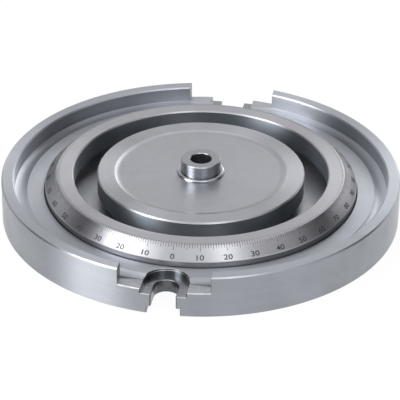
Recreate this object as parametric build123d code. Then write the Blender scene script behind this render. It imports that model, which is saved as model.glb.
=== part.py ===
"""Rotary base plate: a rimmed, coolant-catching base ring that carries a ball-borne graduated table.

Units are millimetres.  The origin is the centre of the underside, +Z is the rotation axis and points
up, and the two clamping lugs lie on -Y (front, at the zero of the scale) and +Y (back).
"""
from build123d import *
from math import sqrt
import os

os.makedirs("parts", exist_ok=True)

# ------------------------------------------------------------------ driving dimensions: T-slot and table
SLOT_MEAN_RADIUS = 87.0      # middle of the annular T-slot
SLOT_THROAT = 18.0           # width of its throat
UNDERCUT_WIDTH = 30.0        # width of its undercut
UNDERCUT_HEIGHT = 8.0
LIP_HEIGHT = 15.0            # lips above the undercut
LIP_CHAMFER = 1.0            # chamfer on both lips
RING_FACE_WIDTH = 12.0       # flat top of the table outside the slot
TABLE_FLOOR = 4.0            # floor under the T-slot
TABLE_WALL = 4.0             # wall outside the race
RUNNING_GAP = 0.5            # round the table and over the shelf of the base
TABLE_GAP = 1.0              # between the floors of base and table
CONE_FOOT_HEIGHT = 4.0       # plain band between the gutter flat and the graduated cone

# ------------------------------------------------------------------ driving dimensions: base ring
GUTTER_WIDTH = 22.5          # coolant gutter between table and rim
RIM_WIDTH = 9.5              # radial width of the rim
RIM_HEIGHT = 32.0            # top of the rim above the underside
GUTTER_HEIGHT = 20.5         # gutter flat above the underside
COVE_WIDTH = 9.5             # concave run-off channel at the foot of the rim
COVE_DEPTH = 1.2             # its depth below the gutter flat
WEB_THICKNESS = 6.0          # floor of the base under the table
UNDERSIDE_RELIEF = 0.5       # relieved band between the two seating bands
RELIEF_INNER_RADIUS = 62.0
RELIEF_OUTER_RADIUS = 102.0
EDGE_BREAK = 1.0             # chamfer on the turned edges of the rim
FOOT_BREAK = 0.3             # chamfer on the lower outer edge

# ------------------------------------------------------------------ driving dimensions: clamping lugs
LUG_WIDTH = 67.0             # gap milled through the rim
LEDGE_DROP = 1.3             # floor of that gap below the gutter flat
BOLT_SLOT_WIDTH = 18.0       # open slot for an M16 clamping bolt
SPOTFACE_WIDTH = 33.0        # seat for its washer
SPOTFACE_DEPTH = 3.5         # that seat below the ledge
SPOTFACE_WALL = 2.9          # between the seat and the table recess
KEYWAY_WIDTH = 24.0          # locating keyway in the underside
KEYWAY_DEPTH = 6.0
KEYWAY_WALL = 2.5            # between the keyway's end and the race seat
SHELF_THICKNESS = 3.0        # base left over the end of the keyway
MILLED_EDGE_BREAK = 0.6      # chamfer on the milled edges in the outer wall

# ------------------------------------------------------------------ driving dimensions: centre disc
DISC_RIM_WIDTH = 13.0        # flat rim outside the dish
DISH_EDGE_WIDTH = 5.0        # hollow polished edge of the dish
DISH_DEPTH = 1.0             # dish floor below the face of disc and table
BLIND_MARGIN = 4.0           # disc left over screws, dowels and key
SCREW_COUNT = 6
SCREW_RADIUS = 4.0           # M8
SCREW_HEAD_RADIUS = 6.5
SCREW_HEAD_HEIGHT = 8.0
SOCKET_WIDTH = 6.0           # across flats
SOCKET_DEPTH = 4.0
DOWEL_COUNT = 2
DOWEL_RADIUS = 4.0

# ------------------------------------------------------------------ driving dimensions: centre spindle
SPIGOT_RADIUS = 15.0         # centring spigot and journal
SPIGOT_HEIGHT = 11.6         # above the dish floor
CENTRE_BORE_RADIUS = 8.0
BORE_CHAMFER = 0.5
SPIGOT_CHAMFER = 0.6
FLANGE_WIDTH = 3.0           # flange beyond the spigot
FLANGE_HEIGHT = 2.0
FLANGE_ROUND = 1.2
RELIEF_GROOVE_WIDTH = 0.8    # grinding relief over the flange
RELIEF_GROOVE_DEPTH = 0.6
KEY_WIDTH = 5.0              # feather key between spindle and disc
KEY_HEIGHT = 5.0
KEY_SEAT_DEPTH = 3.0         # depth of its seat in the spindle

# ------------------------------------------------------------------ driving dimensions: hub stack
HUB_GAP = 0.6                # between the hub and the disc above it
HUB_SIDE_GAP = 2.0           # between the hub and the table round it
HUB_WALL = 7.0               # hub outside the nut pocket
BUSH_WALL = 5.0              # bronze guide bush
THRUST_WASHER_WIDTH = 9.0
THRUST_WASHER_THICKNESS = 2.0
LOCK_WASHER_THICKNESS = 1.2
LOCK_TAB_WIDTH = 4.8
LOCK_TAB_DEPTH = 1.6
LOCK_TOOTH_COUNT = 12
LOCK_TOOTH_REACH = 1.0       # teeth beyond the nut
NUT_WALL = 6.5
NUT_HEIGHT = 5.0
NUT_SLOT_COUNT = 4
NUT_SLOT_WIDTH = 5.0
NUT_SLOT_DEPTH = 2.0
NUT_CLEARANCE = 0.6          # between the nut and the cover
COVER_LAND = 8.0             # cover beyond the nut pocket
COVER_THICKNESS = 1.5
COVER_RECESS = 0.3           # cover above the seating plane
COVER_HOLE_RADIUS = 11.0
COVER_SCREW_COUNT = 4
COVER_SCREW_RADIUS = 1.5     # M3 countersunk
COVER_SCREW_HEAD_RADIUS = 2.8
COVER_SCREW_LENGTH = 5.0

# ------------------------------------------------------------------ driving dimensions: ball bearing
BALL_RADIUS = 3.0
BALL_COUNT = 36
RACE_LAND = 1.5              # race beyond the ball on each side
RACE_THICKNESS = 4.1
RACE_WALL = 2.5              # table between the T-slot and the race
RACE_INSET = 2.5             # lower race sunk into the floor of the base
GROOVE_DEPTH = 1.6
BALL_CLEARANCE = 0.05        # between ball and groove
CAGE_SIDE_GAP = 0.5
CAGE_THICKNESS = 1.8
CAGE_POCKET_CLEARANCE = 0.15

# ------------------------------------------------------------------ driving dimensions: seals and fits
WIPER_HEIGHT = 4.0           # wiper in the wall of the base, round the table
WIPER_DEPTH = 3.5
WIPER_COVER = 1.2            # base left between its groove and the spot-face
WIPER_GAP = 0.3              # between the wiper lip and the table
SEAL_CORD = 2.0              # seal ring between table and disc
SEAL_INSET = 6.0             # that ring inside the T-slot wall
FLANGE_SEAL_CORD = 1.2
SEAL_SQUEEZE = 0.1           # groove depth short of the cord
SEAT_CLEARANCE = 0.02        # located pieces of one body
JOURNAL_CLEARANCE = 0.04     # spindle in its guide bush
FREE_CLEARANCE = 0.4         # clearance holes and loose pieces

# ------------------------------------------------------------------ radii that follow, from the T-slot out
throat_inner = SLOT_MEAN_RADIUS - SLOT_THROAT / 2
throat_outer = SLOT_MEAN_RADIUS + SLOT_THROAT / 2
undercut_inner = SLOT_MEAN_RADIUS - UNDERCUT_WIDTH / 2
undercut_outer = SLOT_MEAN_RADIUS + UNDERCUT_WIDTH / 2
cone_top_radius = throat_outer + RING_FACE_WIDTH
race_inner = undercut_outer + RACE_WALL
ball_circle = race_inner + RACE_LAND + BALL_RADIUS
race_outer = ball_circle + BALL_RADIUS + RACE_LAND
table_radius = race_outer + TABLE_WALL
recess_radius = table_radius + RUNNING_GAP
rim_inner = recess_radius + GUTTER_WIDTH
base_radius = rim_inner + RIM_WIDTH
slot_end_radius = recess_radius + SPOTFACE_WALL + SPOTFACE_WIDTH / 2
keyway_inner = race_outer + KEYWAY_WALL

# ------------------------------------------------------------------ radii that follow, from the spindle out
flange_radius = SPIGOT_RADIUS + FLANGE_WIDTH
flange_seal_radius = SPIGOT_RADIUS + FLANGE_WIDTH / 2
bush_outer = SPIGOT_RADIUS + JOURNAL_CLEARANCE + BUSH_WALL
nut_radius = SPIGOT_RADIUS + NUT_WALL
washer_radius = SPIGOT_RADIUS + THRUST_WASHER_WIDTH
pocket_radius = washer_radius + LOCK_TOOTH_REACH
hub_radius = pocket_radius + HUB_WALL
table_bore = hub_radius + HUB_SIDE_GAP
cover_radius = pocket_radius + COVER_LAND
cover_screw_circle = pocket_radius + COVER_LAND / 2
disc_seal_radius = undercut_inner - SEAL_INSET
screw_circle = (table_bore + disc_seal_radius) / 2
dish_radius = throat_inner - DISC_RIM_WIDTH

# ------------------------------------------------------------------ heights that follow
table_bottom = WEB_THICKNESS + TABLE_GAP
slot_floor = table_bottom + TABLE_FLOOR
lip_bottom = slot_floor + UNDERCUT_HEIGHT
table_top = lip_bottom + LIP_HEIGHT
dish_floor = table_top - DISH_DEPTH
blind_top = dish_floor - BLIND_MARGIN
flange_top = dish_floor + FLANGE_HEIGHT
spigot_top = dish_floor + SPIGOT_HEIGHT
cone_foot = GUTTER_HEIGHT + CONE_FOOT_HEIGHT
ledge_height = GUTTER_HEIGHT - LEDGE_DROP
spotface_height = ledge_height - SPOTFACE_DEPTH
wiper_top = spotface_height - WIPER_COVER
wiper_bottom = wiper_top - WIPER_HEIGHT
shelf_height = KEYWAY_DEPTH + SHELF_THICKNESS
race_seat = WEB_THICKNESS - RACE_INSET
ball_centre = race_seat + RACE_THICKNESS - GROOVE_DEPTH + BALL_RADIUS + BALL_CLEARANCE
upper_race_bottom = ball_centre + BALL_RADIUS + BALL_CLEARANCE - GROOVE_DEPTH
upper_race_top = upper_race_bottom + RACE_THICKNESS
hub_top = lip_bottom - HUB_GAP
cover_top = COVER_RECESS + COVER_THICKNESS
nut_bottom = cover_top + NUT_CLEARANCE
nut_top = nut_bottom + NUT_HEIGHT
lock_washer_top = nut_top + LOCK_WASHER_THICKNESS
pocket_top = lock_washer_top + THRUST_WASHER_THICKNESS


def turned(*corners):
    """A solid of revolution about Z from the corners (radius, height) of its half section."""
    outline = Polyline(*[(radius, height) for radius, height in corners], close=True)
    return revolve(Plane.XZ * make_face(outline), axis=Axis.Z)


def tube(inner, outer, bottom, top):
    """A plain ring between two radii and two heights."""
    return turned((inner, bottom), (outer, bottom), (outer, top), (inner, top))


def rod(radius, bottom, top):
    """An upright cylinder on the origin."""
    return Pos(0, 0, bottom) * Cylinder(radius, top - bottom, align=(Align.CENTER, Align.CENTER, Align.MIN))


def block(x_range, y_range, z_range):
    """A box between two limits on each axis."""
    size = [high - low for low, high in (x_range, y_range, z_range)]
    corner = Pos(x_range[0], y_range[0], z_range[0])
    return corner * Box(*size, align=(Align.MIN, Align.MIN, Align.MIN))


def around(count, radius, item, start=0.0):
    """Copies of item, evenly spaced on a circle."""
    places = [start + 360.0 * step / count for step in range(count)]
    return [Rot(0, 0, angle) * Pos(radius, 0, 0) * item for angle in places]


def save(name, *solids):
    """Write one node; several solids go into one file side by side."""
    shape = solids[0] if len(solids) == 1 else Compound(children=list(solids))
    export_step(shape, os.path.join("parts", name + ".step"))


# ------------------------------------------------------------------ base ring and its clamping lugs
def cove_face():
    """Half section of the run-off channel: an arc that dips between the gutter flat and the rim."""
    start = (rim_inner - COVE_WIDTH, GUTTER_HEIGHT)
    lowest = (rim_inner - COVE_WIDTH / 2, GUTTER_HEIGHT - COVE_DEPTH)
    end = (rim_inner, GUTTER_HEIGHT)
    edges = ThreePointArc(start, lowest, end) + Line(end, start)
    return make_face(edges)


def open_slot(width, bottom, top):
    """A slot on +Y with a round inner end on the slot centre and an open mouth past the rim."""
    mouth = base_radius + RIM_WIDTH
    end = Pos(0, slot_end_radius, 0) * rod(width / 2, bottom, top)
    return end + block((-width / 2, width / 2), (slot_end_radius, mouth), (bottom, top))


def wall_break(width, height):
    """Chamfer between a milled floor of the given width and the outer wall."""
    size = MILLED_EDGE_BREAK
    ring = turned((base_radius - size, height), (base_radius, height - size), (base_radius + size, height))
    return ring & block((-width / 2, width / 2), (0, base_radius + RIM_WIDTH), (0, RIM_HEIGHT))


def lug_cut():
    """All that is milled away at the lug on +Y: rim gap, spot-face, bolt slot, keyway, edge breaks."""
    mouth = base_radius + RIM_WIDTH
    ledge_start = sqrt(rim_inner ** 2 - (LUG_WIDTH / 2) ** 2)
    over = RIM_HEIGHT + RIM_WIDTH
    gap = block((-LUG_WIDTH / 2, LUG_WIDTH / 2), (ledge_start, mouth), (ledge_height, over))
    seat = open_slot(SPOTFACE_WIDTH, spotface_height, over)
    slot = open_slot(BOLT_SLOT_WIDTH, -RIM_WIDTH, over)
    keyway = block((-KEYWAY_WIDTH / 2, KEYWAY_WIDTH / 2), (keyway_inner, mouth), (-RIM_WIDTH, KEYWAY_DEPTH))
    breaks = wall_break(LUG_WIDTH, ledge_height) + wall_break(SPOTFACE_WIDTH, spotface_height)
    return gap + seat + slot + keyway + breaks


def base_ring():
    """Turned base: nut pocket and hub, race seat, wiper groove, gutter and rim, then the milled lugs."""
    cover_seat = cover_radius + SEAT_CLEARANCE
    body = turned(
        (cover_seat, 0), (RELIEF_INNER_RADIUS, 0), (RELIEF_INNER_RADIUS, UNDERSIDE_RELIEF),
        (RELIEF_OUTER_RADIUS, UNDERSIDE_RELIEF), (RELIEF_OUTER_RADIUS, 0),
        (base_radius - FOOT_BREAK, 0), (base_radius, FOOT_BREAK),
        (base_radius, RIM_HEIGHT - EDGE_BREAK), (base_radius - EDGE_BREAK, RIM_HEIGHT),
        (rim_inner + EDGE_BREAK, RIM_HEIGHT), (rim_inner, RIM_HEIGHT - EDGE_BREAK),
        (rim_inner, GUTTER_HEIGHT), (recess_radius + EDGE_BREAK / 2, GUTTER_HEIGHT),
        (recess_radius, GUTTER_HEIGHT - EDGE_BREAK / 2),
        (recess_radius, wiper_top), (recess_radius + WIPER_DEPTH, wiper_top),
        (recess_radius + WIPER_DEPTH, wiper_bottom), (recess_radius, wiper_bottom),
        (recess_radius, shelf_height), (race_outer + SEAT_CLEARANCE, shelf_height),
        (race_outer + SEAT_CLEARANCE, race_seat), (race_inner - SEAT_CLEARANCE, race_seat),
        (race_inner - SEAT_CLEARANCE, WEB_THICKNESS), (hub_radius, WEB_THICKNESS),
        (hub_radius, hub_top), (bush_outer + SEAT_CLEARANCE, hub_top),
        (bush_outer + SEAT_CLEARANCE, pocket_top), (pocket_radius, pocket_top),
        (pocket_radius, cover_top), (cover_seat, cover_top))
    body -= revolve(Plane.XZ * cove_face(), axis=Axis.Z)
    hole = rod(COVER_SCREW_RADIUS + SEAT_CLEARANCE, 0, COVER_RECESS + COVER_SCREW_LENGTH + FREE_CLEARANCE)
    body -= around(COVER_SCREW_COUNT, cover_screw_circle, hole)
    for half_turn in (0, 180):
        body -= Rot(0, 0, half_turn) * lug_cut()
    return body.solid()


# ------------------------------------------------------------------ graduated table
def graduated_table():
    """Turned cup: race seat below, annular T-slot above, scale cone outside, screw and dowel holes."""
    body = turned(
        (table_bore, table_bottom), (race_inner - SEAT_CLEARANCE, table_bottom),
        (race_inner - SEAT_CLEARANCE, upper_race_top), (race_outer + SEAT_CLEARANCE, upper_race_top),
        (race_outer + SEAT_CLEARANCE, shelf_height + RUNNING_GAP), (table_radius, shelf_height + RUNNING_GAP),
        (table_radius, cone_foot), (cone_top_radius, table_top),
        (throat_outer + LIP_CHAMFER, table_top), (throat_outer, table_top - LIP_CHAMFER),
        (throat_outer, lip_bottom), (undercut_outer, lip_bottom),
        (undercut_outer, slot_floor), (undercut_inner, slot_floor),
        (undercut_inner, lip_bottom), (table_bore, lip_bottom))
    head_top = table_bottom + FREE_CLEARANCE + SCREW_HEAD_HEIGHT
    screw_hole = rod(SCREW_RADIUS + FREE_CLEARANCE, table_bottom, lip_bottom)
    screw_hole += rod(SCREW_HEAD_RADIUS + FREE_CLEARANCE, table_bottom, head_top)
    body -= around(SCREW_COUNT, screw_circle, screw_hole)
    dowel_hole = rod(DOWEL_RADIUS + SEAT_CLEARANCE, table_bottom, lip_bottom)
    body -= around(DOWEL_COUNT, screw_circle, dowel_hole, 180.0 / SCREW_COUNT)
    body -= seal_groove(disc_seal_radius, SEAL_CORD, lip_bottom)
    return body.solid()


def seal_groove(radius, cord, face):
    """A square groove turned down into a face for a seal ring of the given cord."""
    depth = cord - SEAL_SQUEEZE
    return tube(radius - cord / 2 - SEAL_SQUEEZE, radius + cord / 2 + SEAL_SQUEEZE, face - depth, face)


def seal_ring(radius, cord, face):
    """A seal ring lying in its groove, pressed flush with the face."""
    height = cord - SEAL_SQUEEZE
    section = Pos(radius, face - height / 2) * RectangleRounded(cord, height, height / 3)
    return revolve(Plane.XZ * section, axis=Axis.Z)


# ------------------------------------------------------------------ centre disc and what fastens it
def centre_disc():
    """Dished disc: inner lip of the T-slot, hollow polished edge, seat and keyway for the spindle."""
    body = turned(
        (SPIGOT_RADIUS + SEAT_CLEARANCE, lip_bottom), (throat_inner, lip_bottom),
        (throat_inner, table_top - LIP_CHAMFER), (throat_inner - LIP_CHAMFER, table_top),
        (SPIGOT_RADIUS + SEAT_CLEARANCE, table_top))
    dish = Polyline(
        (dish_radius - DISH_EDGE_WIDTH, dish_floor), (0, dish_floor),
        (0, table_top), (dish_radius, table_top))
    sweep_in = ThreePointArc(
        (dish_radius, table_top),
        (dish_radius - DISH_EDGE_WIDTH * 0.4, table_top - DISH_DEPTH * 0.75),
        (dish_radius - DISH_EDGE_WIDTH, dish_floor))
    body -= revolve(Plane.XZ * make_face(dish + sweep_in), axis=Axis.Z)
    thread = rod(SCREW_RADIUS + SEAT_CLEARANCE, lip_bottom, blind_top + FREE_CLEARANCE)
    body -= around(SCREW_COUNT, screw_circle, thread)
    dowel_hole = rod(DOWEL_RADIUS + SEAT_CLEARANCE, lip_bottom, blind_top + FREE_CLEARANCE)
    body -= around(DOWEL_COUNT, screw_circle, dowel_hole, 180.0 / SCREW_COUNT)
    body -= seal_groove(flange_seal_radius, FLANGE_SEAL_CORD, dish_floor)
    slot_half = KEY_WIDTH / 2 + SEAT_CLEARANCE
    key_reach = SPIGOT_RADIUS - KEY_SEAT_DEPTH + KEY_HEIGHT + FREE_CLEARANCE / 2
    body -= block((0, key_reach), (-slot_half, slot_half), (lip_bottom, blind_top + FREE_CLEARANCE))
    return body.solid()


def disc_screw():
    """Socket head screw, upside down: its head hides in the underside of the table."""
    head_bottom = table_bottom + FREE_CLEARANCE
    head_top = head_bottom + SCREW_HEAD_HEIGHT
    body = rod(SCREW_HEAD_RADIUS, head_bottom, head_top)
    body += rod(SCREW_RADIUS, head_top, blind_top)
    hexagon = RegularPolygon(SOCKET_WIDTH / 2, 6, major_radius=False)
    body -= Pos(0, 0, head_bottom) * extrude(hexagon, SOCKET_DEPTH)
    return body.solid()


def disc_dowel():
    """Parallel dowel across the joint between table and disc."""
    reach = blind_top - lip_bottom
    body = rod(DOWEL_RADIUS, lip_bottom - reach, blind_top)
    ends = body.edges().filter_by(GeomType.CIRCLE)
    return chamfer(ends, DOWEL_RADIUS / 8).solid()


# ------------------------------------------------------------------ centre spindle and its hub stack
def centre_spindle():
    """Hollow spindle: spigot, ground relief, rounded flange, keyed shank, journal and threaded end."""
    relief = SPIGOT_RADIUS - RELIEF_GROOVE_DEPTH
    body = turned(
        (CENTRE_BORE_RADIUS + BORE_CHAMFER, nut_bottom), (SPIGOT_RADIUS - BORE_CHAMFER, nut_bottom),
        (SPIGOT_RADIUS, nut_bottom + BORE_CHAMFER), (SPIGOT_RADIUS, dish_floor),
        (flange_radius, dish_floor), (flange_radius, flange_top), (relief, flange_top),
        (relief, flange_top + RELIEF_GROOVE_WIDTH), (SPIGOT_RADIUS, flange_top + RELIEF_GROOVE_WIDTH),
        (SPIGOT_RADIUS, spigot_top - SPIGOT_CHAMFER), (SPIGOT_RADIUS - SPIGOT_CHAMFER, spigot_top),
        (CENTRE_BORE_RADIUS + BORE_CHAMFER, spigot_top), (CENTRE_BORE_RADIUS, spigot_top - BORE_CHAMFER),
        (CENTRE_BORE_RADIUS, nut_bottom + BORE_CHAMFER))
    rims = body.edges().filter_by(GeomType.CIRCLE)
    flange_edge = [edge for edge in rims if abs(edge.radius - flange_radius) < 0.01]
    body = fillet(ShapeList(flange_edge).sort_by(Axis.Z)[-1], FLANGE_ROUND)
    seat_floor = SPIGOT_RADIUS - KEY_SEAT_DEPTH
    key_half = KEY_WIDTH / 2 + SEAT_CLEARANCE
    key_heights = (lip_bottom + FREE_CLEARANCE, blind_top)
    body -= block((seat_floor, flange_radius), (-key_half, key_half), key_heights)
    tab_floor = SPIGOT_RADIUS - LOCK_TAB_DEPTH - FREE_CLEARANCE / 2
    tab_half = LOCK_TAB_WIDTH / 2 + FREE_CLEARANCE / 4
    body -= block((tab_floor, flange_radius), (-tab_half, tab_half), (nut_bottom, lock_washer_top))
    return body.solid()


def spindle_key():
    """Parallel feather key that turns the spindle with the disc."""
    inner = SPIGOT_RADIUS - KEY_SEAT_DEPTH
    half = KEY_WIDTH / 2
    return block((inner, inner + KEY_HEIGHT), (-half, half), (lip_bottom + FREE_CLEARANCE, blind_top)).solid()


def guide_bush():
    """Plain bronze bush in the hub, guiding the spindle."""
    return tube(SPIGOT_RADIUS + JOURNAL_CLEARANCE, bush_outer, pocket_top, hub_top).solid()


def thrust_washer():
    """Bronze washer that takes the pull of the nut against the underside of the hub."""
    return tube(SPIGOT_RADIUS + FREE_CLEARANCE, washer_radius, lock_washer_top, pocket_top).solid()


def lock_washer():
    """Toothed lock washer with one inner tab in the groove of the spindle."""
    tooth_root = nut_radius - NUT_SLOT_DEPTH
    body = tube(SPIGOT_RADIUS + SEAT_CLEARANCE, tooth_root, nut_top, lock_washer_top)
    tooth_length = NUT_SLOT_DEPTH + LOCK_TOOTH_REACH
    tooth_half = LOCK_TAB_WIDTH / 2
    tooth = block((-tooth_length, tooth_length), (-tooth_half, tooth_half), (nut_top, lock_washer_top))
    body += around(LOCK_TOOTH_COUNT, tooth_root, tooth)
    body -= rod(SPIGOT_RADIUS + SEAT_CLEARANCE, nut_top, lock_washer_top)
    tab_inner = SPIGOT_RADIUS - LOCK_TAB_DEPTH
    body += block((tab_inner, tooth_root), (-tooth_half, tooth_half), (nut_top, lock_washer_top))
    return body.solid()


def spindle_nut():
    """Round nut with hook-spanner slots that draws the table down on its bearing."""
    body = tube(SPIGOT_RADIUS + SEAT_CLEARANCE, nut_radius, nut_bottom, nut_top)
    half = NUT_SLOT_WIDTH / 2
    notch = block((-NUT_SLOT_DEPTH, NUT_SLOT_DEPTH), (-half, half), (nut_bottom, nut_top))
    body -= around(NUT_SLOT_COUNT, nut_radius, notch, 180.0 / NUT_SLOT_COUNT)
    return body.solid()


def bottom_cover():
    """Thin cover let into the underside, countersunk for its screws."""
    body = tube(COVER_HOLE_RADIUS, cover_radius, COVER_RECESS, cover_top)
    clear = rod(COVER_SCREW_RADIUS + FREE_CLEARANCE / 2, COVER_RECESS, cover_top)
    body -= around(COVER_SCREW_COUNT, cover_screw_circle, clear + countersink(SEAT_CLEARANCE))
    return body.solid()


def countersink(clearance):
    """Cone of a countersunk head, wide end down on the face of the cover."""
    wide = COVER_SCREW_HEAD_RADIUS + clearance
    narrow = COVER_SCREW_RADIUS + clearance
    top = COVER_RECESS + wide - narrow
    return turned((0, COVER_RECESS), (wide, COVER_RECESS), (narrow, top), (0, top))


def cover_screw():
    """Countersunk screw, head down."""
    return (countersink(0) + rod(COVER_SCREW_RADIUS, COVER_RECESS, COVER_RECESS + COVER_SCREW_LENGTH)).solid()


# ------------------------------------------------------------------ ball bearing
def race(bottom, groove_centre):
    """A flat race ring with a ball groove turned about the ball circle."""
    ring = tube(race_inner, race_outer, bottom, bottom + RACE_THICKNESS)
    groove = Pos(ball_circle, groove_centre) * Circle(BALL_RADIUS + BALL_CLEARANCE)
    return (ring - revolve(Plane.XZ * groove, axis=Axis.Z)).solid()


def ball_cage():
    """Flat cage drilled with one pocket for each ball."""
    half = CAGE_THICKNESS / 2
    bottom = ball_centre - half
    top = ball_centre + half
    ring = tube(race_inner + CAGE_SIDE_GAP, race_outer - CAGE_SIDE_GAP, bottom, top)
    pocket = rod(BALL_RADIUS + CAGE_POCKET_CLEARANCE, bottom, top)
    return (ring - around(BALL_COUNT, ball_circle, pocket)).solid()


def bearing_balls():
    """The balls in their pockets."""
    return around(BALL_COUNT, ball_circle, Pos(0, 0, ball_centre) * Sphere(BALL_RADIUS))


def wiper_ring():
    """Wiper pressed into the wall of the base, its lip sloping up towards the table."""
    outer = recess_radius + WIPER_DEPTH
    lip = table_radius + WIPER_GAP
    return turned(
        (outer, wiper_bottom), (outer, wiper_top), (recess_radius, wiper_top), (lip, wiper_top),
        (lip, wiper_top - WIPER_HEIGHT / 4), (recess_radius + WIPER_DEPTH / 4, wiper_bottom)).solid()


# ------------------------------------------------------------------ all nodes
save("base_ring", base_ring())
save("lower_race", race(race_seat, ball_centre))
save("guide_bush", guide_bush())
save("thrust_washer", thrust_washer())
save("wiper_ring", wiper_ring())
save("bottom_cover", bottom_cover())
save("cover_screws", *around(COVER_SCREW_COUNT, cover_screw_circle, cover_screw()))

save("graduated_table", graduated_table())
save("centre_disc", centre_disc())
save("disc_screws", *around(SCREW_COUNT, screw_circle, disc_screw()))
save("disc_dowels", *around(DOWEL_COUNT, screw_circle, disc_dowel(), 180.0 / SCREW_COUNT))
save("disc_seal", seal_ring(disc_seal_radius, SEAL_CORD, lip_bottom).solid())
save("centre_spindle", centre_spindle())
save("spindle_key", spindle_key())
save("flange_seal", seal_ring(flange_seal_radius, FLANGE_SEAL_CORD, dish_floor).solid())
save("lock_washer", lock_washer())
save("spindle_nut", spindle_nut())
save("upper_race", race(upper_race_bottom, ball_centre))

save("ball_cage", ball_cage())
save("bearing_balls", *bearing_balls())
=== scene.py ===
"""Dressed scene of the rotary base plate: camera and studio, then the pieces as they are put together.

Sizes of pieces are written in millimetres and become metres where a mesh is made.  The scale's zero
lies on -Y, where the camera stands, and +Z is the rotation axis.
"""

import bpy
import numpy as np
from mathutils import Matrix, Vector


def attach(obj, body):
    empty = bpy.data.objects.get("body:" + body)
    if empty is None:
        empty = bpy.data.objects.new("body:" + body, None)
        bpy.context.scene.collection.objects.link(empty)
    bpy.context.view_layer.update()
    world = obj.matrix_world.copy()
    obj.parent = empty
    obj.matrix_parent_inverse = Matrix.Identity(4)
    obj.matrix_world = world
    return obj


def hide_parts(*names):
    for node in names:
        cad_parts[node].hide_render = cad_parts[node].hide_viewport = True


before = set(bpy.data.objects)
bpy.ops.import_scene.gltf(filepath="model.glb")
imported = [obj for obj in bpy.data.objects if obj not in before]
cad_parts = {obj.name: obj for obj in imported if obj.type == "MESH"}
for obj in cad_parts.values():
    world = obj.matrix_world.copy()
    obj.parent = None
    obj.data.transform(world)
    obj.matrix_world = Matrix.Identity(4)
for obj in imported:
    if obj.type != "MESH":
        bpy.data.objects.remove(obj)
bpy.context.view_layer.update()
MM = 0.001

# ------------------------------------------------------------------ camera
# A long lens, 30 degrees above the bench and ten degrees round from the front lug.
CAMERA_TURN = np.radians(10.0)
CAMERA_ELEVATION = 30.0
CAMERA_ROLL = 0.00783
CAMERA_DISTANCE = 1.7227
CAMERA_LENS = 204.3
AIM_HEIGHT = 8.4
AIM_LEFT = 0.5


def toward(azimuth, elevation):
    """Unit vector at an azimuth from the camera's own side (positive to its right) and an elevation."""
    turn = np.radians(azimuth) + CAMERA_TURN
    rise = np.radians(elevation)
    return Vector((np.sin(turn) * np.cos(rise), -np.cos(turn) * np.cos(rise), np.sin(rise)))


camera_back = toward(0.0, CAMERA_ELEVATION)
level_right = toward(90.0, 0.0)
level_up = camera_back.cross(level_right)
camera_right = level_right * np.cos(CAMERA_ROLL) + level_up * np.sin(CAMERA_ROLL)
camera_up = level_up * np.cos(CAMERA_ROLL) - level_right * np.sin(CAMERA_ROLL)
camera_target = Vector((0.0, 0.0, AIM_HEIGHT * MM)) - level_right * (AIM_LEFT * MM)

camera_data = bpy.data.cameras.new("studio_camera")
camera_data.sensor_width = 36.0
camera_data.lens = CAMERA_LENS
camera_data.clip_start = 0.05
camera_data.clip_end = 60.0
camera = bpy.data.objects.new("studio_camera", camera_data)
camera_frame = Matrix((camera_right, camera_up, camera_back)).transposed().to_4x4()
camera.matrix_world = Matrix.Translation(camera_target + camera_back * CAMERA_DISTANCE) @ camera_frame
bpy.context.scene.collection.objects.link(camera)
bpy.context.scene.camera = camera
bpy.context.scene.view_settings.view_transform = "Standard"

# ------------------------------------------------------------------ floor
# A large white bench.  The camera and polished metal see it white; it still takes a soft shadow.
FLOOR_HALF = 6.0
FLOOR_OWN_LIGHT = 0.95
FLOOR_TONE = 0.86

floor_mesh = bpy.data.meshes.new("bench")
floor_corners = FLOOR_HALF * np.array([(-1, -1, 0), (1, -1, 0), (1, 1, 0), (-1, 1, 0)], float)
floor_mesh.from_pydata(floor_corners.tolist(), [], [(0, 1, 2, 3)])
floor = bpy.data.objects.new("bench", floor_mesh)
bpy.context.scene.collection.objects.link(floor)


def link(tree, source, target):
    """Join one socket to another in a node tree."""
    tree.links.new(source, target)


def node(tree, kind, **values):
    """Add a node, set its properties and, under the names of its inputs, their values."""
    made = tree.nodes.new(kind)
    for name, value in values.items():
        if hasattr(made, name):
            setattr(made, name, value)
        else:
            made.inputs[name.replace("_", " ")].default_value = value
    return made


def maths(tree, operation, first, second=None, third=None, clamp=False):
    """One Math node; each operand is a socket or a number."""
    made = node(tree, "ShaderNodeMath", operation=operation, use_clamp=clamp)
    for place, operand in enumerate((first, second, third)):
        if operand is None:
            continue
        if isinstance(operand, (int, float)):
            made.inputs[place].default_value = operand
        else:
            link(tree, operand, made.inputs[place])
    return made.outputs[0]


def distance(tree, first, second):
    """Length of the vector (first, second)."""
    return maths(tree, "SQRT", maths(tree, "ADD", maths(tree, "MULTIPLY", first, first),
                                     maths(tree, "MULTIPLY", second, second)))


def coordinates(tree, space):
    """Sockets x, y and z of one output of the texture coordinates, such as Object or Normal."""
    parts = node(tree, "ShaderNodeSeparateXYZ")
    link(tree, node(tree, "ShaderNodeTexCoord").outputs[space], parts.inputs[0])
    return parts.outputs


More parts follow.
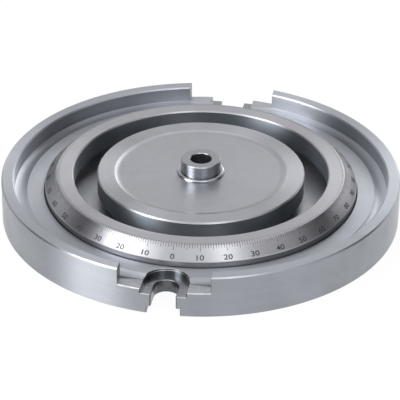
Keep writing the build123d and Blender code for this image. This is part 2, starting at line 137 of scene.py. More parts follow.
floor_paint = bpy.data.materials.new("bench_white")
floor_paint.use_nodes = True
tree = floor_paint.node_tree
tree.nodes.clear()
output = node(tree, "ShaderNodeOutputMaterial")
rays = node(tree, "ShaderNodeLightPath")
paint = node(tree, "ShaderNodeBsdfDiffuse")
paint.inputs["Color"].default_value = (FLOOR_TONE, FLOOR_TONE, FLOOR_TONE, 1.0)
own_light = node(tree, "ShaderNodeEmission")
blend = node(tree, "ShaderNodeMixShader")
seen = maths(tree, "MAXIMUM", rays.outputs["Is Camera Ray"], rays.outputs["Is Glossy Ray"])
seen = maths(tree, "MAXIMUM", seen, rays.outputs["Is Transmission Ray"])
link(tree, maths(tree, "MULTIPLY", seen, FLOOR_OWN_LIGHT), blend.inputs[0])
link(tree, paint.outputs[0], blend.inputs[1])
link(tree, own_light.outputs[0], blend.inputs[2])
link(tree, blend.outputs[0], output.inputs[0])
floor_mesh.materials.append(floor_paint)

# ------------------------------------------------------------------ studio light
# A dark studio hung with soft panels: a ring overhead, screens at the left, a box and cloths at the
# front and right, and two strips and a cloth behind.  Azimuths are from the camera's side, positive to
# its right.  A panel is its azimuth, half width and softness of its sides, its lower and upper
# elevation and softness of its ends, all in degrees, and its radiance.
PANELS = {
    "overhead_ring": (0.0, 180.0, 10.0, 50.0, 77.0, 20.0, 1.7),
    "left_screen": (-61.0, 15.0, 5.0, -20.0, 38.0, 6.0, 10.5),
    "upper_left_screen": (-70.0, 26.0, 5.0, 40.0, 60.0, 6.0, 1.3),
    "front_box": (20.0, 10.0, 9.0, 30.0, 55.0, 10.0, 2.7),
    "front_cloth": (-12.0, 52.0, 20.0, 30.0, 56.0, 12.0, 1.75),
    "front_right_cloth": (60.0, 22.0, 12.0, -10.0, 30.0, 8.0, 0.9),
    "right_cloth": (138.0, 27.0, 12.0, -10.0, 22.0, 8.0, 1.2),
    "right_rear_strip": (160.0, 7.0, 3.0, -13.0, 42.0, 6.0, 2.4),
    "rear_cloth": (200.0, 45.0, 15.0, 6.0, 40.0, 10.0, 0.85),
    "left_rear_strip": (-161.0, 6.0, 3.0, -18.0, 17.0, 8.0, 1.5),
}

world = bpy.data.worlds.new("studio")
world.use_nodes = True
bpy.context.scene.world = world
tree = world.node_tree
tree.nodes.clear()
output = node(tree, "ShaderNodeOutputWorld")
background = node(tree, "ShaderNodeBackground")
x, y, z = coordinates(tree, "Generated")
turn_seen = maths(tree, "ARCTAN2", x, maths(tree, "MULTIPLY", y, -1.0))
rise_seen = maths(tree, "ARCSINE", z)


def soft_step(value, edge, soft):
    """0 below the edge and 1 above it, over a soft width on both sides; all in degrees but the value."""
    step = node(tree, "ShaderNodeMapRange", interpolation_type="SMOOTHSTEP")
    step.inputs["From Min"].default_value = np.radians(edge - soft)
    step.inputs["From Max"].default_value = np.radians(edge + soft)
    link(tree, value, step.inputs["Value"])
    return step.outputs[0]


level = 0.0
for azimuth, half_width, side_soft, low, high, end_soft, radiance in PANELS.values():
    shown = maths(tree, "SUBTRACT", soft_step(rise_seen, low, end_soft), soft_step(rise_seen, high, end_soft))
    if half_width < 180.0:
        away = maths(tree, "SUBTRACT", turn_seen, np.radians(azimuth) + CAMERA_TURN)
        away = maths(tree, "ABSOLUTE", maths(tree, "WRAP", away, np.pi, -np.pi))
        beside = soft_step(away, half_width, side_soft)
        shown = maths(tree, "MULTIPLY", shown, maths(tree, "SUBTRACT", 1.0, beside))
    level = maths(tree, "MULTIPLY_ADD", shown, radiance, level)
rays = node(tree, "ShaderNodeLightPath")
backdrop = node(tree, "ShaderNodeMix", data_type="FLOAT")
link(tree, rays.outputs["Is Camera Ray"], backdrop.inputs[0])
link(tree, level, backdrop.inputs[2])
backdrop.inputs[3].default_value = 1.0
link(tree, backdrop.outputs[0], background.inputs["Strength"])
background.inputs["Color"].default_value = (1.0, 1.0, 1.0, 1.0)
link(tree, background.outputs[0], output.inputs[0])

# ------------------------------------------------------------------ turned steel finishes
# Machined steel: fine concentric tool lines on every face, slow bands round the turn and faint smears
# of oil.  Each material below places these two groups with its own values.
LINE_ROUGHNESS = 0.10
SMEAR_ROUGHNESS = 0.06
SMEAR_TONE = -0.05


def socket(group, name, kind, way, value=None):
    """Add one named input or output to a node group."""
    made = group.interface.new_socket(name=name, in_out=way, socket_type=kind)
    if value is not None:
        made.default_value = value


def turned_grain_group():
    """Tool lines about Z.

    The noise is read at (pitch r, pitch z, sweep cos a, sweep sin a) in four dimensions, so it changes
    quickly across the lines, slowly along them, and closes up after a full turn.
    """
    group = bpy.data.node_groups.new("turned_grain", "ShaderNodeTree")
    socket(group, "Pitch", "NodeSocketFloat", "INPUT", 3000.0)
    socket(group, "Sweep", "NodeSocketFloat", "INPUT", 2.0)
    socket(group, "Lines", "NodeSocketFloat", "OUTPUT")
    socket(group, "Bands", "NodeSocketFloat", "OUTPUT")
    socket(group, "Shafts", "NodeSocketFloat", "OUTPUT")
    given = node(group, "NodeGroupInput")
    result = node(group, "NodeGroupOutput")
    x, y, z = coordinates(group, "Object")
    radius = distance(group, x, y)
    safe = maths(group, "MAXIMUM", radius, 1e-5)
    cosine = maths(group, "DIVIDE", x, safe)
    sine = maths(group, "DIVIDE", y, safe)
    layers = (("Lines", given.outputs["Pitch"], given.outputs["Sweep"], 3.0),
              ("Bands", 420.0, given.outputs["Sweep"], 2.0),
              ("Shafts", 9.0, 9.0, 3.0))
    for name, pitch, sweep, detail in layers:
        across = node(group, "ShaderNodeCombineXYZ")
        link(group, maths(group, "MULTIPLY", radius, pitch), across.inputs[0])
        link(group, maths(group, "MULTIPLY", z, pitch), across.inputs[1])
        link(group, maths(group, "MULTIPLY", cosine, sweep), across.inputs[2])
        noise = node(group, "ShaderNodeTexNoise", noise_dimensions="4D")
        noise.inputs["Scale"].default_value = 1.0
        noise.inputs["Detail"].default_value = detail
        link(group, across.outputs[0], noise.inputs["Vector"])
        link(group, maths(group, "MULTIPLY", sine, sweep), noise.inputs["W"])
        link(group, noise.outputs[0], result.inputs[name])
    return group


def handling_group():
    """Faint smears and specks left by oily hands, as one value that changes over the surface."""
    group = bpy.data.node_groups.new("handling_marks", "ShaderNodeTree")
    socket(group, "Size", "NodeSocketFloat", "INPUT", 30.0)
    socket(group, "Marks", "NodeSocketFloat", "OUTPUT")
    given = node(group, "NodeGroupInput")
    result = node(group, "NodeGroupOutput")
    noise = node(group, "ShaderNodeTexNoise", Detail=5.0, Roughness=0.62, Distortion=0.4)
    link(group, node(group, "ShaderNodeTexCoord").outputs["Object"], noise.inputs["Vector"])
    link(group, given.outputs["Size"], noise.inputs["Scale"])
    spread = node(group, "ShaderNodeMapRange", interpolation_type="SMOOTHSTEP")
    spread.inputs["From Min"].default_value = 0.38
    spread.inputs["From Max"].default_value = 0.72
    link(group, noise.outputs[0], spread.inputs["Value"])
    link(group, spread.outputs[0], result.inputs["Marks"])
    return group


turned_grain = turned_grain_group()
handling_marks = handling_group()


def radial_band(tree, inner, outer):
    """1 between two radii about Z and 0 elsewhere."""
    x, y = coordinates(tree, "Object")[:2]
    radius = distance(tree, x, y)
    return maths(tree, "MULTIPLY", maths(tree, "GREATER_THAN", radius, inner * MM),
                 maths(tree, "LESS_THAN", radius, outer * MM))


def new_material(name):
    """A material, its tree and its Principled shader."""
    made = bpy.data.materials.new(name)
    made.use_nodes = True
    return made, made.node_tree, made.node_tree.nodes["Principled BSDF"]


def varied(tree, swing, value, span, base):
    """The swing times base + span value."""
    return maths(tree, "MULTIPLY", swing, maths(tree, "MULTIPLY_ADD", value, span, base))


def tint(tree, metal, tone, swing):
    """Colour the metal with the tone times the swing; returns the socket of the colour."""
    colour = node(tree, "ShaderNodeVectorMath", operation="SCALE")
    colour.inputs[0].default_value = tone
    link(tree, swing, colour.inputs["Scale"])
    link(tree, colour.outputs[0], metal.inputs["Base Color"])
    return colour.outputs[0]


def raise_marks(tree, metal, height, depth):
    """Let a value stand out of the surface as tool marks of this depth in millimetres."""
    bump = node(tree, "ShaderNodeBump")
    bump.inputs["Strength"].default_value = 1.0
    bump.inputs["Distance"].default_value = depth * MM
    link(tree, height, bump.inputs["Height"])
    link(tree, bump.outputs[0], metal.inputs["Normal"])


def dull_black(name, size, dark, pale, roughness, spread):
    """Wax or rubber: near-black tones and a roughness that follow the handling marks."""
    made, tree, shader = new_material(name)
    marks = node(tree, "ShaderNodeGroup", node_tree=handling_marks)
    marks.inputs["Size"].default_value = size
    tone = node(tree, "ShaderNodeMix", data_type="RGBA")
    tone.inputs[6].default_value = (*dark, 1.0)
    tone.inputs[7].default_value = (*pale, 1.0)
    link(tree, marks.outputs[0], tone.inputs[0])
    link(tree, tone.outputs[2], shader.inputs["Base Color"])
    link(tree, maths(tree, "MULTIPLY_ADD", marks.outputs[0], spread, roughness), shader.inputs["Roughness"])
    return made


def turned_steel(name, tone, roughness, pitch=3000.0, contrast=0.10, depth=0.004, stretch=0.55, shafts=0.05,
                 walls=1.0):
    """Steel with tool lines about Z; returns the material, its tree and the sockets of colour and roughness.

    tone is the colour of clean metal, walls the share of it kept on upright faces (painted shade), contrast
    the part of it that the lines take away or add, and stretch how far a highlight is drawn out across the
    lines.
    """
    made, tree, metal = new_material(name)
    metal.inputs["Metallic"].default_value = 1.0
    metal.inputs["Anisotropic"].default_value = stretch
    metal.inputs["Anisotropic Rotation"].default_value = 0.25
    grain = node(tree, "ShaderNodeGroup", node_tree=turned_grain)
    grain.inputs["Pitch"].default_value = pitch
    marks = node(tree, "ShaderNodeGroup", node_tree=handling_marks)
    swing = maths(tree, "MULTIPLY_ADD", grain.outputs["Lines"], 2.0 * contrast, 1.0 - contrast)
    swing = varied(tree, swing, grain.outputs["Bands"], 1.2 * contrast, 1.0 - 0.6 * contrast)
    swing = varied(tree, swing, grain.outputs["Shafts"], 2.0 * shafts, 1.0 - shafts)
    swing = varied(tree, swing, marks.outputs[0], SMEAR_TONE, 1.0)
    facing_up = coordinates(tree, "Normal")[2]
    level = maths(tree, "MULTIPLY", facing_up, facing_up)
    # Upright faces keep only the walls share of the tone: painted shade, not a finish.
    swing = varied(tree, swing, level, 1.0 - walls, walls)
    colour = tint(tree, metal, tone, swing)
    rough = maths(tree, "MULTIPLY_ADD", grain.outputs["Lines"], LINE_ROUGHNESS,
                  roughness - LINE_ROUGHNESS / 2)
    rough = maths(tree, "MULTIPLY_ADD", marks.outputs[0], SMEAR_ROUGHNESS, rough)
    link(tree, rough, metal.inputs["Roughness"])
    raise_marks(tree, metal, grain.outputs["Lines"], depth)
    around = node(tree, "ShaderNodeTangent", direction_type="RADIAL", axis="Z")
    link(tree, around.outputs[0], metal.inputs["Tangent"])
    return made, tree, colour, rough


# ------------------------------------------------------------------ base ring
# Rimmed, coolant-catching ring turned from steel plate and fine-turned all over; the rim is milled
# away over two clamping lugs, each with a spot-faced open bolt slot and a keyway below.
SUPPORT = 0.03
COLUMNS = 360
OUTER_RADIUS = 150.0
LUG_CENTRE = 137.4
GAP_HALF, GAP_FLOOR = 33.5, 19.2
SEAT_HALF, SEAT_FLOOR = 16.5, 15.7
SLOT_HALF, KEYWAY_HALF = 9.0, 12.0
EDGE_BREAK = 0.6
OUTSIDE = 175.0
WALL_TOLERANCE = 0.2
ARC_PITCH, WALL_PITCH = 2600.0, 350.0


def rounded_section(corners, steps=3):
    """Closed half section (radius, height) with each corner (radius, height, round) rounded.

    A corner P with unit sides u back and v on gets the arc that touches both sides at P + t u and
    P + t v, where t is the round over the tangent of half their angle.  The arc is the rational
    quadratic curve on those points with middle weight the sine of half the angle.  One more station
    stands just outside each end, so that flat faces keep their own shading.
    """
    given = np.array(corners, float)
    point = given[:, :2]
    back = np.roll(point, 1, axis=0) - point
    on = np.roll(point, -1, axis=0) - point
    back /= np.linalg.norm(back, axis=1, keepdims=True)
    on /= np.linalg.norm(on, axis=1, keepdims=True)
    half = np.arccos(np.clip((back * on).sum(axis=1), -1.0, 1.0)) / 2
    reach = (given[:, 2] / np.tan(half))[:, None]
    share = np.linspace(0.0, 1.0, steps + 1)[None, :, None]
    weight = np.sin(half)[:, None, None]
    first = (point + reach * back)[:, None]
    last = (point + reach * on)[:, None]
    parts = ((1 - share) ** 2, 2 * share * (1 - share) * weight, share ** 2)
    arc = (parts[0] * first + parts[1] * point[:, None] + parts[2] * last) / sum(parts)
    outside = (first + SUPPORT * back[:, None], last + SUPPORT * on[:, None])
    return np.concatenate([outside[0], arc, outside[1]], axis=1).reshape(-1, 2)


def ring_faces(rows, columns):
    """Quads of a grid that closes both ways: rows round the section and columns round the turn."""
    row, column = np.meshgrid(np.arange(rows), np.arange(columns), indexing="ij")
    next_row = (row + 1) % rows
    next_column = (column + 1) % columns
    corners = [row * columns + column, row * columns + next_column,
               next_row * columns + next_column, next_row * columns + column]
    return np.stack(corners, axis=-1).reshape(-1, 4)


def open_faces(rows, columns):
    """Quads of a grid that closes round its columns only."""
    return ring_faces(rows, columns)[:-columns]


def fill_mesh(name, points, faces, smooth=30.0):
    """Mesh object from points in millimetres and a list of faces, smooth below the given angle."""
    mesh = bpy.data.meshes.new(name)
    mesh.from_pydata((np.asarray(points) * MM).tolist(), [], [list(face) for face in faces])
    mesh.validate()
    made = bpy.data.objects.new(name, mesh)
    bpy.context.scene.collection.objects.link(made)
    if smooth:
        mesh.shade_smooth()
        mesh.set_sharp_from_angle(angle=np.radians(smooth))
    return made


def turn(name, corners, columns=COLUMNS, steps=3):
    """Turned ring: station (r, z) at angle a stands at (r cos a, r sin a, z)."""
    section = rounded_section(corners, steps)
    radius, height = section.T
    following = np.roll(section, -1, axis=0)
    area = np.sum(radius * following[:, 1] - following[:, 0] * height)
    if area > 0:
        radius, height = section[::-1].T
    angle = np.linspace(0.0, 2 * np.pi, columns, endpoint=False)
    points = np.stack([np.outer(radius, np.cos(angle)), np.outer(radius, np.sin(angle)),
                       np.repeat(height[:, None], columns, axis=1)], axis=-1)
    return fill_mesh(name, points.reshape(-1, 3), ring_faces(len(radius), columns))


def milled_hole(name, outline, levels):
    """Cutter: the outline (x, y) at each level (z, growth), grown by mitred offsets, capped both ends.

    A corner with unit normals m and n of its two sides moves by growth (m + n) / (1 + m.n).
    """
    outline = np.array(outline, float)
    side = np.roll(outline, -1, axis=0) - outline
    side /= np.linalg.norm(side, axis=1, keepdims=True)
    normal = np.stack([side[:, 1], -side[:, 0]], axis=1)
    before = np.roll(normal, 1, axis=0)
    mitre = (normal + before) / (1 + (normal * before).sum(axis=1, keepdims=True))
    count = len(outline)
    height, growth = np.array(levels, float).T
    plan = outline[None] + growth[:, None, None] * mitre[None]
    points = np.concatenate([plan, np.repeat(height[:, None], count, axis=1)[..., None]], axis=-1)
    walls = open_faces(len(height), count)
    caps = [list(range(count))[::-1], list(range((len(height) - 1) * count, len(height) * count))]
    return fill_mesh(name, points.reshape(-1, 3), walls.tolist() + caps, smooth=None)


def open_slot(half_width, end_centre, wall, flare=0.4, steps=20):
    """Outline of a slot on +Y: a half circle about the end centre, then out past the wall at y = wall,
    where the mouth widens by the flare."""
    angle = np.linspace(np.pi, 2 * np.pi, steps + 1)
    end = np.stack([half_width * np.cos(angle), end_centre + half_width * np.sin(angle)], axis=1)
    mouth = [(half_width, wall - flare), (half_width + 3.0, wall - flare + 3.0), (half_width + 3.0, OUTSIDE),
             (-half_width - 3.0, OUTSIDE), (-half_width - 3.0, wall - flare + 3.0),
             (-half_width, wall - flare)]
    return np.concatenate([end, mouth])


def square_slot(half_width, inner, mouth, flare):
    """Outline of a square slot on +Y from y = inner, whose mouth widens by the flare from y = mouth."""
    wide, far = half_width + flare, mouth + flare
    return [(-half_width, inner), (half_width, inner), (half_width, mouth), (wide, far), (wide, OUTSIDE),
            (-wide, OUTSIDE), (-wide, far), (-half_width, mouth)]


def edge_bar(name, height, half_width, radius=OUTER_RADIUS, size=EDGE_BREAK):
    """Cutter for the break along a milled floor's outer edge: a five-sided bar carried round the wall,
    whose sloping side cuts the break."""
    half_turn = np.arcsin(half_width / radius)
    angle = np.linspace(np.pi / 2 - half_turn, np.pi / 2 + half_turn, 24)
    section = np.array([(radius - size, height), (radius, height - size), (radius + size, height - size),
                        (radius + size, height + 0.4), (radius - size, height + 0.4)])
    points = np.stack([np.outer(np.cos(angle), section[:, 0]), np.outer(np.sin(angle), section[:, 0]),
                       np.repeat(section[None, :, 1], len(angle), axis=0)], axis=-1)
    count = len(section)
    walls = open_faces(len(angle), count)[:, [0, 3, 2, 1]]
    caps = [list(range(count)), list(range((len(angle) - 1) * count, len(angle) * count))[::-1]]
    return fill_mesh(name, points.reshape(-1, 3), walls.tolist() + caps, smooth=None)


def cut_away(piece, cutters, finish):
    """Subtract each cutter on both lugs from the piece; the faces that it cuts take the finish."""
    for cutter in cutters:
        cutter.data.materials.append(finish)
        for half_turn in (0.0, np.pi):
            cutter.matrix_world = Matrix.Rotation(half_turn, 4, "Z")
            bpy.context.view_layer.update()
            tool = piece.modifiers.new("cut", "BOOLEAN")
            tool.solver = "EXACT"
            tool.material_mode = "TRANSFER"
            tool.object = cutter
            ready = piece.evaluated_get(bpy.context.evaluated_depsgraph_get())
            cut = bpy.data.meshes.new_from_object(ready)
            piece.modifiers.remove(tool)
            old = piece.data
            piece.data = cut
            bpy.data.meshes.remove(old)
    for cutter in cutters:
        bpy.data.meshes.remove(cutter.data)


def finish_walls(piece, radius):
    """Give the upright faces at this radius the smooth finish of a bored wall, in a darker tone that paints
    the shade inside the T-slot.
    """
    piece.data.materials.append(bored_steel_with_painted_shade)
    for face in piece.data.polygons:
        reach = np.hypot(face.center.x, face.center.y)
        if abs(reach - radius * MM) < WALL_TOLERANCE * MM and abs(face.normal.z) < 0.1:
            face.material_index = len(piece.data.materials) - 1


def milled_steel(name, tone, roughness, walls):
    """Steel left by an end mill: arcs about each lug's centre (0, LUG_CENTRE) on the floors, and walls
    that keep the given share of the tone, a painted shade on the upright faces."""
    made, tree, metal = new_material(name)
    metal.inputs["Metallic"].default_value = 1.0
    x, y, z = coordinates(tree, "Object")
    reach = distance(tree, x, maths(tree, "SUBTRACT", maths(tree, "ABSOLUTE", y), LUG_CENTRE * MM))
    across = node(tree, "ShaderNodeCombineXYZ")
    link(tree, maths(tree, "MULTIPLY", reach, ARC_PITCH), across.inputs[0])
    link(tree, maths(tree, "MULTIPLY", z, WALL_PITCH), across.inputs[1])
    arcs = node(tree, "ShaderNodeTexNoise", Scale=1.0, Detail=3.0)
    link(tree, across.outputs[0], arcs.inputs["Vector"])
    marks = node(tree, "ShaderNodeGroup", node_tree=handling_marks)
    marks.inputs["Size"].default_value = 160.0
    level = maths(tree, "ABSOLUTE", coordinates(tree, "Normal")[2], clamp=True)
    # Upright faces keep only the walls share of the tone: painted shade.
    swing = maths(tree, "MULTIPLY_ADD", level, 1.0 - walls, walls)
    swing = varied(tree, swing, arcs.outputs[0], 0.24, 0.88)
    swing = varied(tree, swing, marks.outputs[0], -0.18, 1.0)
    tint(tree, metal, tone, swing)
    rough = maths(tree, "MULTIPLY_ADD", marks.outputs[0], 0.14, roughness - 0.06)
    link(tree, rough, metal.inputs["Roughness"])
    raise_marks(tree, metal, arcs.outputs[0], 0.002)
    return made


# The T-slot walls are smoother than the table, which is their bored finish, and half as light in tone, which
# is painted shade of the deep slot.
bored_steel_with_painted_shade = turned_steel("slot_bored_steel_with_painted_shade", (0.21, 0.233, 0.262), 0.42, depth=0.002, stretch=0.92)[0]
# The base ring's upright faces keep 0.84 of its tone and the lug walls 0.65 of theirs: painted shade.
base_steel = turned_steel("base_ring_steel", (0.42, 0.438, 0.478), 0.33, stretch=0.88, walls=0.84)[0]
lug_steel = milled_steel("lug_milled_steel", (0.43, 0.445, 0.475), 0.40, 0.65)
# The spot faces take a darker tone than the lugs, and their walls keep only 0.40 of it: painted shade of the
# recess.
seat_steel_with_painted_shade = milled_steel("seat_milled_steel_with_painted_shade", (0.31, 0.325, 0.35), 0.26, 0.40)

base_ring = turn("base_ring_turned", [
    (33.02, 1.8, 0.1), (33.02, 0.0, 0.2), (62.0, 0.0, 0.15), (62.0, 0.5, 0.15),
    (102.0, 0.5, 0.15), (102.0, 0.0, 0.15), (149.7, 0.0, 0.1), (150.0, 0.3, 0.1), (150.0, 31.0, 0.3),
    (149.0, 32.0, 0.3), (141.5, 32.0, 0.3), (140.5, 31.0, 0.3), (140.5, 20.5, 0.15),
    (135.75, 17.936, 9.6), (131.0, 20.5, 0.5), (118.5, 20.5, 0.15), (118.0, 20.0, 0.15),
    (118.0, 14.5, 0.1), (121.5, 14.5, 0.1), (121.5, 10.5, 0.1), (118.0, 10.5, 0.1),
    (118.0, 9.0, 0.1), (113.52, 9.0, 0.1), (113.52, 3.5, 0.1), (104.48, 3.5, 0.1), (104.48, 6.0, 0.2),
    (32.0, 6.0, 0.2), (32.0, 18.4, 0.2), (20.06, 18.4, 0.2), (20.06, 10.6, 0.1), (25.0, 10.6, 0.1),
    (25.0, 1.8, 0.2)])
gap_outline = square_slot(GAP_HALF, 136.45, 145.8, 2.5)
keyway_outline = square_slot(KEYWAY_HALF, 116.0, 149.1, 3.0)
base_ring.data.materials.append(base_steel)
cut_away(base_ring, [
    milled_hole("rim_gap", gap_outline, [(GAP_FLOOR, 0.0), (31.7, 0.0), (32.5, 0.8)]),
    edge_bar("ledge_break", GAP_FLOOR, GAP_HALF)], lug_steel)
cut_away(base_ring, [
    milled_hole("spot_face", open_slot(SEAT_HALF, LUG_CENTRE, 148.7),
                [(SEAT_FLOOR, 0.0), (18.95, 0.0), (19.25, 0.3), (20.2, 0.3), (21.0, 1.1)]),
    milled_hole("bolt_slot", open_slot(SLOT_HALF, LUG_CENTRE, 149.3),
                [(-0.6, 1.0), (0.4, 0.0), (15.4, 0.0), (16.2, 0.8)]),
    milled_hole("keyway", keyway_outline, [(-0.6, 0.9), (0.3, 0.0), (6.0, 0.0)]),
    edge_bar("seat_break", SEAT_FLOOR, SEAT_HALF)], seat_steel_with_painted_shade)
base_ring.data.shade_smooth()
base_ring.data.set_sharp_from_angle(angle=np.radians(30.0))
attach(base_ring, "base")
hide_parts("base_ring")

# ------------------------------------------------------------------ graduated table
# Turned steel cup that carries the annular T-slot; its outer cone is graduated in degrees with black
# lines, which stand proud of the cone by TICK_HEIGHT.
# Its upright faces, the foot band under the cone among them, keep 0.65 of the tone: painted shade.
table_steel, tree, table_colour, _ = turned_steel(
    "table_turned_steel", (0.435, 0.436, 0.47), 0.29, contrast=0.07, depth=0.002, stretch=0.85, walls=0.65)

TICK_HALF = 0.055
TICK_LIP = 0.10
TICK_HEIGHT = 0.10
LINE_TEN, LINE_FIVE, LINE_ONE = 5.0, 3.8, 2.7
INK = (0.012, 0.012, 0.014, 1.0)


def turn_graduated(name, corners, band, columns=COLUMNS):
    """Turned ring whose last stretch of section carries the scale.

    The section runs through the rounded corners and then through the band stations (r, z, reach),
    whose reach is how far they lie down the cone.  The band has six columns a degree, at the middle, the
    two sides and the two lips of the line and half way between lines, and a station moves out along
    the section's normal by TICK_HEIGHT where its reach is no longer than that degree's line.  One row of
    nine-cornered faces joins each end of the band to the plain columns.  The corners are rounded as a
    closed section, so the first and the last lean toward each other: the top face falls 0.15 mm to the
    slot and the outer wall draws in 0.3 mm at its foot.  The faces wind inward.
    """
    section = rounded_section(corners)
    plain_angle = np.radians(np.arange(columns) * 360.0 / columns - 90.0)
    plain = np.stack([np.outer(section[:, 0], np.cos(plain_angle)),
                      np.outer(section[:, 0], np.sin(plain_angle)),
                      np.repeat(section[:, 1:], columns, axis=1)], axis=-1)
    degree = np.arange(columns)
    offsets = np.array([0.0, TICK_HALF, TICK_LIP, 0.5, 1.0 - TICK_LIP, 1.0 - TICK_HALF])
    fine_degree = (degree[:, None] + offsets[None, :]).reshape(-1)
    in_line = np.tile(np.array([1.0, 1.0, 0.0, 0.0, 0.0, 1.0]), columns)
    nearest = np.rint(fine_degree).astype(int) % 360
    length = np.where(nearest % 10 == 0, LINE_TEN, np.where(nearest % 5 == 0, LINE_FIVE, LINE_ONE))
    band = np.array(band, float)
    radius, height, reach = band.T
    ink = in_line[None, :] * (reach[:, None] >= 0.0) * (reach[:, None] <= length[None, :])
    slope = np.gradient(band[:, :2], axis=0)
    normal = np.stack([-slope[:, 1], slope[:, 0]], axis=1)
    normal /= np.linalg.norm(normal, axis=1, keepdims=True)
    line_radius = radius[:, None] + normal[:, :1] * TICK_HEIGHT * ink
    line_height = height[:, None] + normal[:, 1:] * TICK_HEIGHT * ink
    angle = np.radians(fine_degree - 90.0)[None, :]
    fine = np.stack([line_radius * np.cos(angle), line_radius * np.sin(angle), line_height], axis=-1)

    rows, per = len(section), len(offsets)
    plain_faces = open_faces(rows, columns)
    fine_start = rows * columns
    fine_rows, fine_columns = fine.shape[:2]
    fine_faces = open_faces(fine_rows, fine_columns) + fine_start
    onward = (degree + 1) % columns
    spread = (degree[:, None] * per + np.arange(per + 1)) % fine_columns
    last_plain = (rows - 1) * columns
    first_join = np.concatenate([last_plain + degree[:, None], last_plain + onward[:, None],
                                 fine_start + spread[:, ::-1]], axis=1)
    last_fine = fine_start + (fine_rows - 1) * fine_columns
    last_join = np.concatenate([last_fine + spread, onward[:, None], degree[:, None]], axis=1)
    points = np.concatenate([plain.reshape(-1, 3), fine.reshape(-1, 3)])
    faces = plain_faces.tolist() + fine_faces.tolist() + first_join.tolist() + last_join.tolist()
    made = fill_mesh(name, points, faces)
    filled = made.data.attributes.new("ink", "FLOAT", "POINT")
    filled.data.foreach_set("value", np.concatenate([np.zeros(rows * columns), ink.reshape(-1)]))
    return made


cone_top = np.array([108.0, 34.0])
cone_foot = np.array([117.5, 24.5])
slant = np.linalg.norm(cone_foot - cone_top)
down = (cone_foot - cone_top) / slant
steps_down = np.array([0.35, 1.2, 2.0, 2.64, 2.76, 3.3, 3.74, 3.86, 4.4, 4.94, 5.06,
                       6.5, 8.5, 10.5, 12.4, 13.1])
band = [(105.9, 34.0, -1.0), (106.1, 34.0, -1.0), (106.3, 34.0, 0.0), (106.8, 34.0, 0.0), (107.3, 34.0, 0.0),
        (107.75, 33.97, 0.0), (108.05, 33.87, 0.0)]
band += [(*(cone_top + down * step), step) for step in steps_down]
band += [(117.42, 24.66, 20.0), (117.5, 24.4, 20.0), (117.5, 24.2, 20.0), (117.5, 22.4, 20.0)]
graduated_table = turn_graduated("graduated_table_turned", [
    (117.5, 9.5, 0.2), (113.52, 9.5, 0.1), (113.52, 14.6, 0.1), (104.48, 14.6, 0.1), (104.48, 7.0, 0.2),
    (34.0, 7.0, 0.2), (34.0, 19.0, 0.2), (72.0, 19.0, 0.15), (72.0, 11.0, 0.3), (102.0, 11.0, 0.3),
    (102.0, 19.0, 0.3), (96.0, 19.0, 0.2), (96.0, 33.0, 0.15), (97.0, 34.0, 0.15)], band)
graduated_table.data.materials.append(table_steel)
finish_walls(graduated_table, 96.0)
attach(graduated_table, "table")
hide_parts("graduated_table")

metal = tree.nodes["Principled BSDF"]
ink = node(tree, "ShaderNodeAttribute", attribute_name="ink")
filled = node(tree, "ShaderNodeMapRange", interpolation_type="SMOOTHSTEP")
filled.inputs["From Min"].default_value = 0.15
filled.inputs["From Max"].default_value = 0.55
link(tree, ink.outputs["Fac"], filled.inputs["Value"])
inked = node(tree, "ShaderNodeMix", data_type="RGBA")
link(tree, filled.outputs[0], inked.inputs[0])
link(tree, table_colour, inked.inputs[6])
inked.inputs[7].default_value = INK
link(tree, inked.outputs[2], metal.inputs["Base Color"])
link(tree, maths(tree, "SUBTRACT", 1.0, filled.outputs[0]), metal.inputs["Metallic"])

# ------------------------------------------------------------------ numerals of the scale
# Figures of black wax that stand off the cone by NUMERAL_PROUD, every ten degrees, counting both ways
# from the zero.
NUMERAL_SIZE = 5.4
NUMERAL_STRETCH = 1.25
NUMERAL_CENTRE = 9.7
NUMERAL_BOLD = 0.08
NUMERAL_PROUD = 0.05


def flat_figure(text):
    """Vertices (x, y), centred, and faces of one figure as a thin solid plate."""
    curve = bpy.data.curves.new("figure", "FONT")
    curve.body = text
    curve.size = NUMERAL_SIZE
    curve.extrude = 0.5
    curve.offset = NUMERAL_BOLD
    curve.resolution_u = 6
    holder = bpy.data.objects.new("figure", curve)
    bpy.context.scene.collection.objects.link(holder)
    bpy.context.view_layer.update()
    mesh = bpy.data.meshes.new_from_object(holder.evaluated_get(bpy.context.evaluated_depsgraph_get()))
    points = np.empty(len(mesh.vertices) * 3)
    mesh.vertices.foreach_get("co", points)
    points = points.reshape(-1, 3)
    points[:, :2] -= (points[:, :2].min(axis=0) + points[:, :2].max(axis=0)) / 2
    points[:, 0] *= NUMERAL_STRETCH
    faces = [tuple(face.vertices) for face in mesh.polygons]
    bpy.data.objects.remove(holder)
    bpy.data.meshes.remove(mesh)
    return points, faces


def on_cone(points, degree):
    """Bend a plate on to the cone: x goes round it at its own radius, y up the slant, z stands off it."""
    slid = NUMERAL_CENTRE - points[:, 1]
    lift = NUMERAL_PROUD * np.sign(points[:, 2])
    radius = cone_top[0] + down[0] * slid - down[1] * lift
    height = cone_top[1] + down[1] * slid + down[0] * lift
    angle = np.radians(degree - 90.0) + points[:, 0] / radius
    return np.stack([radius * np.cos(angle), radius * np.sin(angle), height], axis=1)


figure_points, figure_faces, count = [], [], 0
for degree in range(0, 360, 10):
    shown = min(degree % 180, 180 - degree % 180)
    points, faces = flat_figure(str(shown))
    figure_points.append(on_cone(points, degree))
    figure_faces += [tuple(count + corner for corner in face) for face in faces]
    count += len(points)
scale_figures = fill_mesh("scale_figures", np.concatenate(figure_points), figure_faces, smooth=None)
black_wax = dull_black("black_wax", 900.0, (0.010, 0.010, 0.012), (0.030, 0.030, 0.033), 0.45, 0.2)
scale_figures.data.materials.append(black_wax)
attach(scale_figures, "table")

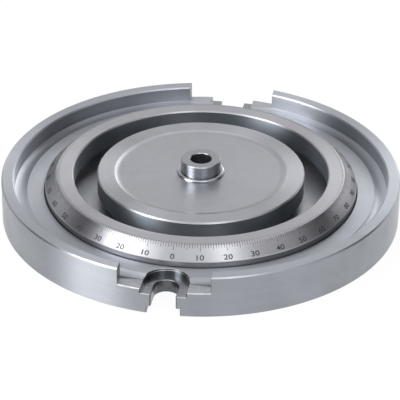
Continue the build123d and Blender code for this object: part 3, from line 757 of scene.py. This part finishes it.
# ------------------------------------------------------------------ centre disc
# Dished disc pinned and screwed to the table: the inner lip of the T-slot outside, a hollow polished
# edge, then a fine-turned dish round the spindle.  Hollow and dish share a finish of their own.
DISH_RADIUS = 65.0
DISH_LOWEST = 32.5
disc_steel = turned_steel("disc_turned_steel", (0.405, 0.413, 0.443), 0.33, stretch=0.85)[0]
dish_steel, tree, _, rough = turned_steel("disc_fine_turned_steel", (0.39, 0.398, 0.427), 0.36, stretch=0.2)
polish = maths(tree, "MULTIPLY_ADD", radial_band(tree, 60.1, 65.1), -0.15, 1.0)
link(tree, maths(tree, "MULTIPLY", rough, polish), tree.nodes["Principled BSDF"].inputs["Roughness"])
centre_disc = turn("centre_disc_turned", [
    (15.02, 19.0, 0.2), (78.0, 19.0, 0.2), (78.0, 33.0, 0.15), (77.0, 34.0, 0.15), (65.0, 34.0, 0.12),
    (62.6, 33.0, 12.4), (15.02, 33.0, 0.2)], steps=5)
centre_disc.data.materials.append(disc_steel)
centre_disc.data.materials.append(dish_steel)
for face in centre_disc.data.polygons:
    reach = np.hypot(face.center.x, face.center.y)
    face.material_index = int(reach < DISH_RADIUS * MM and face.center.z > DISH_LOWEST * MM)
finish_walls(centre_disc, 78.0)
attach(centre_disc, "table")
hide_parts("centre_disc")

# ------------------------------------------------------------------ centre spindle
# Hollow spindle ground and polished all over: spigot, relief groove and a rounded flange on the disc.
ground_steel = turned_steel(
    "spindle_ground_steel", (0.33, 0.345, 0.37), 0.27, pitch=5000.0, contrast=0.05, depth=0.002,
    stretch=0.3)[0]
centre_spindle = turn("centre_spindle_ground", [
    (8.5, 2.4, 0.15), (14.5, 2.4, 0.15), (15.0, 2.9, 0.15), (15.0, 33.0, 0.05), (18.0, 33.0, 0.1),
    (18.0, 35.0, 1.85), (14.4, 35.0, 0.1), (14.4, 35.8, 0.1), (15.0, 35.8, 0.1), (15.0, 44.0, 0.15),
    (14.4, 44.6, 0.15), (8.5, 44.6, 0.12), (8.0, 44.1, 0.12), (8.0, 2.9, 0.15)], columns=180, steps=4)
centre_spindle.data.materials.append(ground_steel)
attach(centre_spindle, "table")
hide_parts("centre_spindle")

# ------------------------------------------------------------------ hidden fittings
# Hub stack, bearing, seals and screws keep their own solids and only take their finishes.
bearing_steel = turned_steel("bearing_ground_steel", (0.62, 0.62, 0.63), 0.12, contrast=0.04, depth=0.001)[0]
bronze = turned_steel("bush_bronze", (0.56, 0.33, 0.14), 0.26, contrast=0.08)[0]
cage_brass = turned_steel("cage_brass", (0.66, 0.47, 0.20), 0.24, contrast=0.08)[0]
black_steel = turned_steel("blackened_steel", (0.045, 0.045, 0.050), 0.38, contrast=0.15)[0]

seal_rubber = dull_black("seal_rubber", 220.0, (0.018, 0.018, 0.018), (0.045, 0.045, 0.043), 0.55, 0.15)

fittings = {
    bearing_steel: ("lower_race", "upper_race", "bearing_balls", "disc_dowels", "spindle_key"),
    bronze: ("guide_bush", "thrust_washer"),
    cage_brass: ("ball_cage",),
    black_steel: ("lock_washer", "spindle_nut", "disc_screws", "cover_screws", "bottom_cover"),
    seal_rubber: ("wiper_ring", "disc_seal", "flange_seal"),
}
for finish, names in fittings.items():
    for name in names:
        solid = bpy.data.objects[name]
        solid.data.materials.clear()
        solid.data.materials.append(finish)
